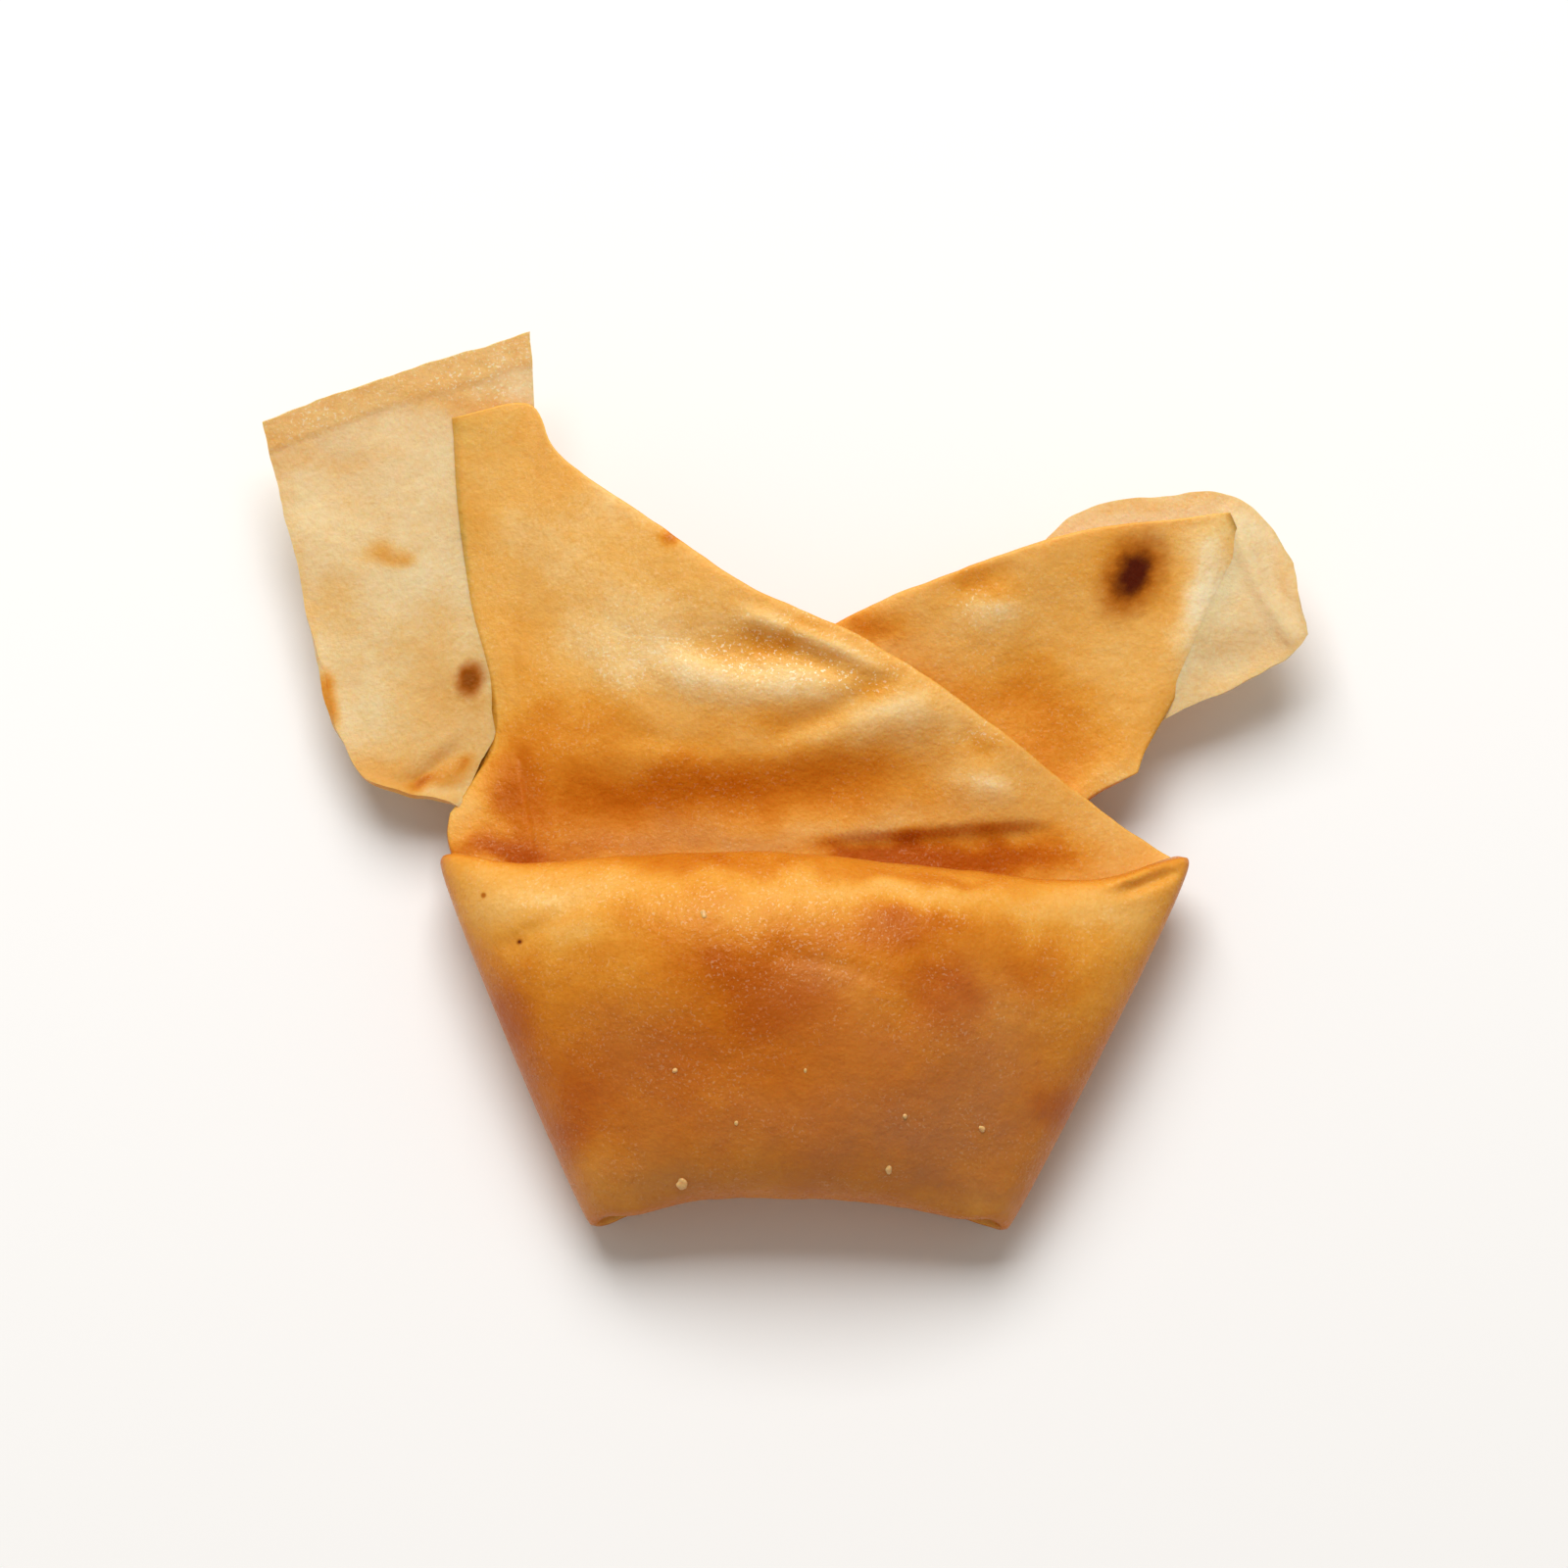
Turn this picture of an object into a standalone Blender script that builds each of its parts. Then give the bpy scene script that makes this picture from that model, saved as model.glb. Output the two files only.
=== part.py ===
"""A fried wonton, shaped the way it is folded.

A square wrapper is rolled round its filling into a flat tube. The tube is folded under at each end of the
filling, which leaves a plump pocket in the middle, wide at its rim and narrow at its foot. The two free ends
cross behind the pocket, the left one lying on the right one, and their loose layers spread as two wings.

Named sizes are in millimetres. X runs along the pocket's rim, Y from its foot to the wings, and Z up from the
plate. The origin is at the middle of the footprint.
"""

import math

import bmesh
import bpy
import numpy as np

MM = 0.001
FOOTPRINT_MIDDLE = (0.01, 0.54)

# How round the section of the tube is, from 1 for an ellipse towards 0 for a flat box with soft edges.
POCKET_ROUNDNESS = 0.95
FOLD_ROUNDNESS = 0.5
STRIP_ROUNDNESS = 0.45

# How finely the tube and the loose layers are divided, along and across, and the length that a turn of one
# radian counts for when the tube's columns are shared out.
TUBE_GRID = (112, 36)
LAYER_GRID = (14, 12)
TURN_SHARE = 5.0

# The pocket: half the thickness of its pressed ends, the corners of its four-sided outline, the height of the
# folds at the rim and at the foot, and the degrees of turn at which a fold's rulings stand.
WALL = 1.3
RIM_RIGHT = (36.0, -6.6)
FOOT_RIGHT = (20.4, -39.6)
RIM_LEFT = (-31.2, -5.4)
FOOT_LEFT = (-18.2, -39.2)
RIM_FOLD_HIGH = 9.0
FOOT_FOLD_HIGH = 7.2
FOLD_TURNS = (145, 110, 75, 40)

# Its rim and its foot between the folds, the bulge of the filling above and below the surface between them,
# and how far the crest leans towards the rim, as a share of the pocket's half depth.
RIM_LINE = (
    (26.5, -8.8, 10.6), (15.5, -8.2, 11.8), (0.0, -6.8, 12.4), (-14.0, -7.0, 12.0), (-23.0, -7.4, 10.8),
)
FOOT_LINE = (
    (15.0, -38.4, 7.8), (9.5, -37.8, 8.6), (1.0, -37.2, 9.0), (-8.0, -37.5, 8.6), (-13.0, -38.2, 7.8),
)
OUTER_BULGE = (5.0, 7.8, 9.2, 8.2, 5.4)
INNER_BULGE = (4.0, 6.2, 7.4, 6.4, 4.2)
CREST_SHIFT = 0.22

# The strip that comes out from under the right fold and runs to the left wing: its top edge, the long
# diagonal of the wonton, its foot edge, hidden under the pocket, and half its thickness.
LEFT_STRIP_TOP = (
    (30.5, -5.4, 3.4), (26.0, -0.6, 7.0), (18.1, 5.2, 10.6), (6.9, 12.4, 13.0),
    (-3.5, 17.1, 13.6), (-12.2, 23.3, 13.0), (-20.5, 30.2, 12.4), (-29.0, 33.2, 12.0),
)
LEFT_STRIP_FOOT = (
    (14.2, -37.0, 1.6), (8.0, -35.4, 2.2), (-1.0, -31.0, 3.4), (-10.0, -24.0, 4.0),
    (-18.0, -15.5, 4.6), (-24.0, -8.5, 5.4), (-28.0, -3.5, 6.2), (-29.6, 0.0, 7.0),
)
LEFT_STRIP_HALF = (1.3, 1.4, 1.6, 1.8, 1.7, 1.5, 1.2, 0.9)

# The strip that comes out from under the left fold and runs beneath the other one to the right wing. Its
# underside is the flat spot that the wonton rests on.
RIGHT_STRIP_TOP = (
    (-25.6, -5.2, 2.6), (-20.5, -0.2, 3.2), (-12.0, 5.5, 4.4), (-3.0, 10.5, 6.2),
    (5.5, 15.0, 8.6), (14.0, 18.4, 10.6), (26.3, 22.2, 11.8), (37.0, 24.0, 12.2),
)
RIGHT_STRIP_FOOT = (
    (-12.6, -36.6, 1.3), (-5.0, -33.0, 1.1), (2.0, -27.0, 1.1), (10.0, -19.0, 1.4),
    (17.5, -11.0, 2.6), (22.5, -5.0, 4.6), (27.0, -0.8, 6.4), (31.3, 1.3, 7.6),
)
RIGHT_STRIP_HALF = (1.3, 1.5, 1.8, 1.9, 2.0, 2.0, 1.8, 1.2)

# How far a strip sags between its two edges, and how freely it does so at each of its rulings.
STRIP_SAG = 2.0
STRIP_LOOSE = (0.0, 0.3, 0.7, 1.0, 1.0, 1.0, 0.9, 0.6)

# The loose single layer of each wing: its foot edge and its top edge, from the hidden root inside the strip
# to the free side.
LAYER = 1.0
LAYER_SAG = 1.2
LEFT_LAYER_FOOT = (
    (-24.0, -2.8, 5.4), (-27.5, -1.9, 5.6), (-29.8, -1.0, 5.7), (-33.9, -0.3, 5.8),
    (-37.3, 1.3, 6.0), (-39.6, 5.5, 6.3), (-40.6, 9.3, 6.7),
)
LEFT_LAYER_TOP = ((-22.4, 40.0, 11.0), (-34.0, 36.4, 10.6), (-46.2, 32.5, 9.6))
RIGHT_LAYER_FOOT = (
    (27.5, 2.3, 7.3), (33.7, 6.3, 7.4), (39.1, 8.7, 7.6),
    (43.5, 11.0, 7.8), (45.3, 12.3, 8.0), (46.0, 13.5, 8.1),
)
RIGHT_LAYER_TOP = (
    (19.5, 17.6, 10.4), (26.0, 24.2, 11.2), (33.7, 25.6, 11.2),
    (39.4, 25.5, 10.9), (42.4, 23.2, 10.4), (44.6, 19.7, 9.8),
)

# Soft ridges and grooves on the left strip: a bent path in plan, then its half width and its height.
PATH_STEPS = 17
STRIP_FOLDS = (
    ((-12.0, 14.5), (4.0, 13.0), (17.0, 4.0), 4.2, 1.1),
    ((-22.0, 4.5), (-5.0, 2.0), (12.0, 3.0), 4.4, -1.2),
    ((-18.0, -3.4), (-4.0, -3.6), (12.0, -2.0), 3.4, 0.8),
    ((6.0, -6.8), (16.0, -6.4), (26.0, -6.4), 3.4, -1.2),
)

SKIN_COLOUR = (0.62, 0.25, 0.045, 1.0)
SKIN_ROUGHNESS = 0.42


def spline(points, at, knots=None):
    """The smooth curve through points, read at places from 0 to 1; knots are the points' own places."""
    points = np.asarray(points, float)
    knots = np.linspace(0, 1, len(points)) if knots is None else knots
    slopes = np.gradient(points, knots, axis=0)
    first = np.clip(np.searchsorted(knots, at, side="right") - 1, 0, len(points) - 2)
    span = (knots[first + 1] - knots[first]).reshape(-1, *[1] * (points.ndim - 1))
    t = (at - knots[first]).reshape(span.shape) / span
    start, end = points[first], points[first + 1]
    leave, arrive = slopes[first] * span, slopes[first + 1] * span
    return (
        start + t * leave
        + t**2 * (3 * (end - start) - 2 * leave - arrive)
        + t**3 * (2 * (start - end) + leave + arrive)
    )


def relief(folds, x, y):
    """The height that soft folds add at places in plan."""
    total = np.zeros_like(x)
    steps = np.linspace(0, 1, PATH_STEPS)
    for start, bend, end, width, height in folds:
        a, b, c = (np.array(point) for point in (start, bend, end))
        path = [(1 - t) ** 2 * a + 2 * t * (1 - t) * b + t**2 * c for t in steps]
        near = np.min([np.hypot(x - p[0], y - p[1]) for p in path], axis=0)
        total += height * np.exp(-((near / width) ** 2))
    return total


def moved_grid(divisions, place):
    """A grid primitive whose vertices are moved to place(u, v), with u and v from 0 to 1, in millimetres."""
    form = bmesh.new()
    bmesh.ops.create_grid(form, x_segments=divisions[0], y_segments=divisions[1], size=1.0)
    share = np.array([vertex.co[:2] for vertex in form.verts]) / 2 + 0.5
    for vertex, point in zip(form.verts, place(share[:, 0], share[:, 1])):
        vertex.co = (point - (*FOOTPRINT_MIDDLE, 0)) * MM
    bmesh.ops.triangulate(form, faces=form.faces, quad_method="SHORT_EDGE")
    return form


def finish(name, form):
    """Turns a bmesh into an object of the scene with its faces pointing out."""
    bmesh.ops.recalc_face_normals(form, faces=form.faces)
    mesh = bpy.data.meshes.new(name)
    form.to_mesh(mesh)
    form.free()
    made = bpy.data.objects.new(name, mesh)
    bpy.context.scene.collection.objects.link(made)
    return made


def strip_rulings(top, foot, half):
    """The rulings of a free end of the tube, pressed nearly flat; its outer face looks down."""
    return [
        (high, low, (0, 0, -1), thick, thick, STRIP_ROUNDNESS, loose)
        for high, low, thick, loose in zip(top, foot, half, STRIP_LOOSE)
    ]


def fold_rulings(rim, foot, rim_low, foot_low, side):
    """The rulings of the tube's half turn at one end of the pocket, from beneath it upwards."""
    rim, foot = np.array(rim), np.array(foot)
    along = (rim - foot) / np.linalg.norm(rim - foot)
    out = np.array((along[1], -along[0])) * side
    rulings = []
    for turn in FOLD_TURNS:
        swing, rise = math.sin(math.radians(turn)), math.cos(math.radians(turn))
        ends = []
        for corner, high, low in ((rim, RIM_FOLD_HIGH, rim_low), (foot, FOOT_FOLD_HIGH, foot_low)):
            radius = (high - low) / 2
            flat = corner + out * (radius * swing - radius - WALL)
            ends.append((*flat, (high + low) / 2 + radius * rise))
        rulings.append((*ends, (*out * swing, rise), WALL, WALL, FOLD_ROUNDNESS, 0.0))
    return rulings


def tube_rulings():
    """Every ruling of the tube, from the end in the left wing, round the pocket, to the right wing's end.

    A ruling is the straight line across the tube from its top edge to its foot edge, with the direction that
    the outer face looks in, how far the outer and the inner face stand off the line, how round the section is
    and how loosely the tube hangs there.
    """
    left = strip_rulings(LEFT_STRIP_TOP, LEFT_STRIP_FOOT, LEFT_STRIP_HALF)
    right = strip_rulings(RIGHT_STRIP_TOP, RIGHT_STRIP_FOOT, RIGHT_STRIP_HALF)
    right_fold = fold_rulings(RIM_RIGHT, FOOT_RIGHT, LEFT_STRIP_TOP[0][2], LEFT_STRIP_FOOT[0][2], 1)
    left_fold = fold_rulings(RIM_LEFT, FOOT_LEFT, RIGHT_STRIP_TOP[0][2], RIGHT_STRIP_FOOT[0][2], -1)
    pocket = [
        (top, foot, (0, 0, 1), outer, inner, POCKET_ROUNDNESS, 0.0)
        for top, foot, outer, inner in zip(RIM_LINE, FOOT_LINE, OUTER_BULGE, INNER_BULGE)
    ]
    return left[::-1] + right_fold + pocket + left_fold[::-1] + right


def tube(name):
    """The whole rolled wrapper as one closed tube, pressed flat, folded and lying on its base.

    A section of the tube runs once round it: across goes from its top edge to its foot edge and back, while
    rise is positive on the outer face and negative on the inner one.
    """
    rulings = [np.array(part, float) for part in zip(*tube_rulings())]
    lengths, turns = (
        np.linalg.norm(np.diff(values, axis=0), axis=1)
        for values in ((rulings[0] + rulings[1]) / 2, rulings[2])
    )
    steps = lengths + TURN_SHARE * turns
    knots = np.concatenate(([0.0], np.cumsum(steps))) / steps.sum()

    def place(u, v):
        top, foot, out, outer, inner, roundness, loose = (spline(part, u, knots) for part in rulings)
        out /= np.linalg.norm(out, axis=1)[:, None]
        across, rise = -np.cos(2 * math.pi * v), np.sin(2 * math.pi * v)
        lift = np.sign(rise) * np.abs(rise) ** roundness * np.where(rise > 0, outer, inner)
        plump = np.clip(lift / max(OUTER_BULGE), 0, 1)
        along = across + CREST_SHIFT * plump * (1 - across**2)
        points = (top + foot) / 2 + (top - foot) / 2 * along[:, None] + out * lift[:, None]
        folds = relief(STRIP_FOLDS, points[:, 0], points[:, 1]) * (rise < 0) * (u < 0.5)
        points[:, 2] += np.clip(loose, 0, 1) * (1 - across**2) * (folds - STRIP_SAG)
        points[:, 2] = np.maximum(points[:, 2], 0)
        return points

    form = moved_grid(TUBE_GRID, place)
    bmesh.ops.remove_doubles(form, verts=form.verts, dist=0.01 * MM)
    rims = [edge for edge in form.edges if edge.is_boundary]
    bmesh.ops.holes_fill(form, edges=rims, sides=0)
    return finish(name, form)


def wing_layer(name, foot, top):
    """The loose single layer of a wing: a thin sheet between its foot edge and its top edge."""

    def place(u, v):
        low, high = spline(foot, u), spline(top, u)
        points = low + (high - low) * v[:, None]
        points[:, 2] -= LAYER_SAG * 4 * v * (1 - v)
        return points

    made = finish(name, moved_grid(LAYER_GRID, place))
    thick = made.modifiers.new("layer", "SOLIDIFY")
    thick.thickness = LAYER * MM
    thick.offset = 0
    return made


def joined(name, pieces):
    """One solid made of overlapping pieces, by a Boolean union on a collection."""
    first, *others = pieces
    gathered = bpy.data.collections.new("joined_pieces")
    bpy.context.scene.collection.children.link(gathered)
    for piece in others:
        bpy.context.scene.collection.objects.unlink(piece)
        gathered.objects.link(piece)
    union = first.modifiers.new("union", "BOOLEAN")
    union.operation = "UNION"
    union.operand_type = "COLLECTION"
    union.collection = gathered
    union.solver = "EXACT"
    union.use_self = True
    graph = bpy.context.evaluated_depsgraph_get()
    mesh = bpy.data.meshes.new_from_object(first.evaluated_get(graph))
    for piece in pieces:
        bpy.data.objects.remove(piece)
    bpy.data.collections.remove(gathered)
    mesh.name = name
    return bpy.data.objects.new(name, mesh)


def skin_material():
    """Golden fried wrapper."""
    material = bpy.data.materials.new("fried_skin")
    material.use_nodes = True
    shader = material.node_tree.nodes["Principled BSDF"]
    shader.inputs["Base Color"].default_value = SKIN_COLOUR
    shader.inputs["Roughness"].default_value = SKIN_ROUGHNESS
    shader.inputs["Metallic"].default_value = 0.0
    return material


def main():
    for old in list(bpy.data.objects):
        bpy.data.objects.remove(old)
    pieces = [
        tube("folded_tube"),
        wing_layer("left_wing", LEFT_LAYER_FOOT, LEFT_LAYER_TOP),
        wing_layer("right_wing", RIGHT_LAYER_FOOT, RIGHT_LAYER_TOP),
    ]
    wonton = joined("fried_wonton", pieces)
    wonton.data.shade_smooth()
    wonton.data.materials.clear()
    wonton.data.materials.append(skin_material())
    parts = bpy.data.collections.new("fried_wonton")
    bpy.context.scene.collection.children.link(parts)
    parts.objects.link(wonton)


main()
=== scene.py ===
"""A fried wonton with its crisp skin, on a pale floor in soft light.

Places are in millimetres, or in pixels of the photograph where that is said. X runs along the pocket's rim, Y
from its foot to the wings, and Z up.
"""

import math

import bpy
import numpy as np
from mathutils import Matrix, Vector, noise


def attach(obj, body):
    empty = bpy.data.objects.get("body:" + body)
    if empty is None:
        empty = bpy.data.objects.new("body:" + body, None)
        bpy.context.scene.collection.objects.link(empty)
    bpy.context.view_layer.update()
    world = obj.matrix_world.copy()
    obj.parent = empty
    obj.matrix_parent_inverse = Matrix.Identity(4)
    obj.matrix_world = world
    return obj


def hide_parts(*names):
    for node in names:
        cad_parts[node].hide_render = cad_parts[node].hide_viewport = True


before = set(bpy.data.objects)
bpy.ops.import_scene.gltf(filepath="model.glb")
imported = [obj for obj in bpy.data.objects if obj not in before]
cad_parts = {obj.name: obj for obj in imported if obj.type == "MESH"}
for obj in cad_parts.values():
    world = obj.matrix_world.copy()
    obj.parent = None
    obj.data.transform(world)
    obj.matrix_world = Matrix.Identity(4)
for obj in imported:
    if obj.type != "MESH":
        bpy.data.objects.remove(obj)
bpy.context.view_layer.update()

MM = 0.001

# The photograph: the size of a pixel, the pixel over the middle of the footprint at height 0, and the angle
# above the floor that it is seen from. Rays that look for what a pixel shows start at the height given last.
PIXEL = 0.1775
PHOTO_ORIGIN = (795.06, 942.0)
VIEW_RISE = math.radians(80.0)
RAY_START = 60.0

# The camera: its frame's width and middle pixel, the height that it looks at, and how far off it stands.
FRAME_WIDTH = 138.0
FRAME_MIDDLE = (794.5, 936.0)
AIM_HEIGHT = 8.0
CAMERA_AWAY = 1800.0
CAMERA_REACH = 10000.0
SENSOR = 36.0

# The folded tube, as the solid has it, with thinner folds and ends. It is laid through rulings: each joins a
# point of the rim's side to one of the foot's side, and the tube's outer and inner faces bulge from it.
FOOTPRINT_MIDDLE = (0.01, 0.54)
POCKET_ROUNDNESS = 0.95
FOLD_ROUNDNESS = 0.5
STRIP_ROUNDNESS = 0.45
TURN_SHARE = 5.0
WALL = 0.8
RIM_RIGHT = (36.0, -6.8)
FOOT_RIGHT = (19.8, -39.2)
RIM_LEFT = (-30.8, -6.6)
FOOT_LEFT = (-17.4, -38.8)
RIM_FOLD_HIGH = 8.6
FOOT_FOLD_HIGH = 7.2
FOLD_TURNS = (145, 110, 75, 40)
FOLD_FULL = (0.8, 0.8, 1.1, 2.3)
RIM_LINE = (
    (26.5, -8.8, 10.6), (15.5, -8.2, 11.8), (0.0, -6.8, 12.4), (-14.0, -7.0, 12.0), (-23.0, -7.4, 10.8),
)
FOOT_LINE = (
    (15.0, -38.4, 7.8), (9.5, -37.5, 8.6), (1.0, -36.9, 9.0), (-8.0, -37.1, 8.6), (-13.0, -38.1, 7.8),
)
OUTER_BULGE = (5.0, 7.8, 9.1, 8.2, 5.4)
INNER_BULGE = (4.0, 6.2, 7.4, 6.4, 4.2)
CREST_SHIFT = 0.22
LEFT_STRIP_TOP = (
    (32.8, -5.2, 5.2), (26.0, -0.6, 7.4), (18.1, 5.2, 10.6), (6.9, 12.4, 13.0),
    (-3.5, 17.1, 13.6), (-12.2, 23.3, 13.0), (-20.2, 29.3, 12.4), (-23.0, 33.7, 12.0), (-29.3, 32.5, 11.6),
)
LEFT_STRIP_FOOT = (
    (14.2, -37.0, 1.6), (8.0, -35.4, 2.2), (-1.0, -31.0, 3.4), (-10.0, -24.0, 4.0),
    (-18.0, -15.5, 4.6), (-25.5, -10.0, 5.2), (-29.0, -6.8, 5.5), (-29.8, -3.9, 5.8), (-29.5, -2.0, 5.9),
)
LEFT_STRIP_HALF = (0.9, 1.2, 1.6, 1.8, 1.7, 1.5, 0.9, 0.6, 0.18)
LEFT_STRIP_LOOSE = (0.0, 0.3, 0.7, 1.0, 1.0, 1.0, 0.9, 0.65, 0.5)
LEFT_END_SHIFT = (
    (-1.0, 0.0), (-0.9, 1.3), (-0.8, 2.3), (-0.7, 3.4), (-0.55, 4.0), (-0.4, 3.8),
    (-0.2, 3.0), (0.0, 2.0), (0.25, 1.2), (0.55, 0.5), (1.0, 0.0),
)
LEFT_END_DROP = 0.5
RIGHT_STRIP_TOP = (
    (-27.4, -5.6, 4.0), (-20.5, -0.2, 3.6), (-12.0, 5.5, 4.4), (-3.0, 10.5, 6.2),
    (5.5, 15.0, 8.6), (14.0, 18.4, 10.6), (26.3, 22.2, 11.6), (37.0, 24.0, 11.3),
)
RIGHT_STRIP_FOOT = (
    (-12.6, -36.6, 1.3), (-5.0, -33.0, 1.1), (2.0, -27.0, 1.1), (10.0, -19.0, 1.4),
    (17.5, -11.0, 2.6), (22.5, -5.0, 4.6), (27.0, -0.8, 6.4), (31.3, 1.3, 7.4),
)
RIGHT_STRIP_HALF = (0.9, 1.3, 1.8, 1.9, 2.0, 2.0, 1.5, 0.2)
RIGHT_STRIP_LOOSE = (0.0, 0.3, 0.7, 1.0, 1.0, 1.0, 0.9, 0.6)
RIGHT_END_SHIFT = (
    (-1.0, -0.2), (-0.82, -0.1), (-0.6, 0.7), (-0.4, 1.4), (-0.2, 1.9),
    (0.0, 2.7), (0.27, 3.9), (0.5, 4.3), (0.75, 4.0), (1.0, 2.2),
)
RIGHT_END_DROP = 0.4
STRIP_SAG = 2.0

# Places along the tube: over how many rulings a strip's end line curves, where its turned down part starts
# and how long that is as shares of this reach, and where the left strip stops and the right one starts.
LEFT_END_RULINGS, RIGHT_END_RULINGS = 4, 1
DROP_START, DROP_LENGTH = 0.549, 0.45
LEFT_STRIP_STOPS, RIGHT_STRIP_STARTS = 0.42, 0.58

# The loose layers of the wings. A layer's root lies under the strip and drops clear of it, and its border is
# the ragged share along its free edges.
LAYER = 0.5
LEFT_LAYER_SAG, RIGHT_LAYER_SAG = 1.2, -0.4
ROOT_DROP = 1.6
ROOT_REACH = 0.14
ROOT_STOPS = (0.65, 0.8)
BORDER_SHARE = 0.12
SHARP_ANGLE = math.radians(50)
LEFT_LAYER_FOOT = (
    (-20.5, -2.8, 4.8), (-27.5, -1.9, 5.35), (-29.8, -1.0, 5.8), (-33.9, -0.3, 6.2),
    (-37.3, 1.3, 6.2), (-39.6, 5.5, 6.4), (-40.6, 9.3, 6.8),
)
LEFT_LAYER_TOP = ((-22.4, 39.8, 12.3), (-34.0, 36.3, 11.8), (-46.1, 32.5, 9.8))
RIGHT_LAYER_FOOT = (
    (27.5, 2.3, 5.6), (33.7, 6.3, 6.7), (39.1, 8.7, 7.7),
    (43.5, 11.0, 8.3), (45.3, 12.3, 8.6), (46.0, 13.5, 8.8),
)
RIGHT_LAYER_TOP = (
    (19.5, 17.6, 9.0), (26.0, 24.2, 9.9), (33.7, 25.6, 10.2),
    (39.4, 25.5, 10.1), (42.4, 23.2, 9.8), (44.6, 19.7, 9.4),
)
HEM_DEPTH = 2.7
HEM_SOFTNESS = 0.4
HEM_STEP = 0.16

# How finely the pieces are divided. The right strip gets fewer columns where the pocket hides it. The tube's
# outer face gets the first share of the rows where it looks down, and the second where it looks up.
TUBE_GRID = (470, 208)
LAYER_GRID = (150, 150)
OUTSIDE_ROWS = (0.30, 0.70)
ROW_CROWDING = 0.5
COLUMN_STOPS = ((0.0, 0.0), (0.76, 0.70), (0.85, 0.86), (1.0, 1.0))
MERGED_WITHIN = 0.002

# How creases and ledges grow and fade, as shares of their paths. A crease starts a little before its path.
PATH_STEPS = 32
CREASE_FADE, CREASE_EARLY = 0.37, 0.12
LEDGE_GROWS, LEDGE_FADES = 0.3, 0.2

# Creases: a bent path in pixels of the photograph and the height there, then half width and rise. A ledge has
# the reach over which its step fades away too.
STRIP_CREASES = (
    ((772, 850), (800, 857), (846, 877), 13.0, 0.9, 0.55),
    ((770, 860), (798, 866), (828, 879), 13.0, 1.0, -0.36),
    ((728, 873), (782, 890), (836, 885), 12.0, 1.9, 0.65),
    ((735, 858), (760, 866), (790, 872), 12.5, 1.6, -0.35),
    ((782, 912), (822, 898), (858, 876), 11.0, 1.0, -0.32),
    ((790, 922), (830, 905), (880, 893), 10.5, 1.8, 0.42),
    ((668, 932), (780, 944), (860, 922), 9.0, 2.6, -0.35),
    ((650, 790), (700, 836), (742, 862), 12.0, 3.0, 0.25),
    ((880, 908), (890, 915), (900, 921), 9.5, 1.0, -0.20),
    ((872, 931), (892, 934), (912, 940), 9.0, 1.4, 0.30),
    ((662, 838), (668, 880), (660, 930), 8.0, 2.6, -0.25),
    ((716, 905), (740, 915), (766, 912), 10.0, 1.2, -0.30),
    ((690, 850), (712, 872), (728, 905), 11.0, 1.6, 0.25),
)
STRIP_LEDGES = (
    ((640, 928), (790, 946), (890, 902), 9.0, 3.5, -1.35, 16.0),
    ((800, 962), (864, 957), (934, 953), 7.5, 0.5, -1.10, 7.0),
    ((661, 915), (668, 945), (673, 976), 7.0, 0.25, 0.30, 2.5),
)
RIGHT_STRIP_CREASES = (
    ((876, 838), (890, 833), (908, 828), 10.0, 1.2, -0.35),
    ((826, 852), (836, 856), (846, 864), 9.5, 1.4, -0.30),
    ((884, 852), (900, 850), (914, 842), 10.0, 1.8, 0.30),
    ((1004, 806), (1008, 838), (986, 880), 10.0, 1.8, 0.50),
    ((900, 870), (930, 900), (950, 930), 7.0, 3.5, -0.50),
)
POCKET_CREASES = (
    ((640, 985), (670, 1000), (712, 1008), 12.0, 2.6, 0.35),
    ((652, 1016), (680, 1006), (712, 984), 12.0, 1.0, -0.30),
    ((793, 1017), (820, 1021), (846, 1029), 20.0, 0.8, -0.16),
    ((985, 988), (955, 1004), (922, 1012), 13.0, 2.2, -0.30),
    ((702, 1150), (722, 1137), (752, 1128), 10.0, 1.8, -0.30),
    ((900, 1152), (880, 1140), (850, 1130), 10.0, 1.8, -0.30),
    ((700, 1060), (760, 1075), (830, 1066), 18.0, 5.0, -0.35),
    ((860, 1040), (890, 1060), (920, 1100), 15.0, 4.0, 0.35),
    ((954, 985), (972, 978), (984, 966), 10.0, 0.7, 0.65),
    ((960, 989), (978, 983), (991, 974), 9.5, 0.6, -0.65),
)
LEFT_LAYER_CREASES = (
    ((606, 934), (619, 928), (634, 914), 6.0, 0.8, -0.45),
    ((586, 932), (610, 946), (640, 941), 6.0, 0.7, 0.50),
    ((548, 800), (570, 822), (600, 838), 8.5, 3.0, 0.30),
    ((575, 760), (590, 800), (585, 850), 8.5, 3.0, -0.30),
)
RIGHT_LAYER_CREASES = (
    ((1018, 800), (1027, 838), (1052, 866), 9.0, 0.8, 0.50),
    ((1030, 812), (1038, 838), (1050, 852), 9.0, 1.0, -0.20),
    ((1000, 880), (1020, 872), (1045, 862), 7.5, 2.0, -0.40),
)

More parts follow.
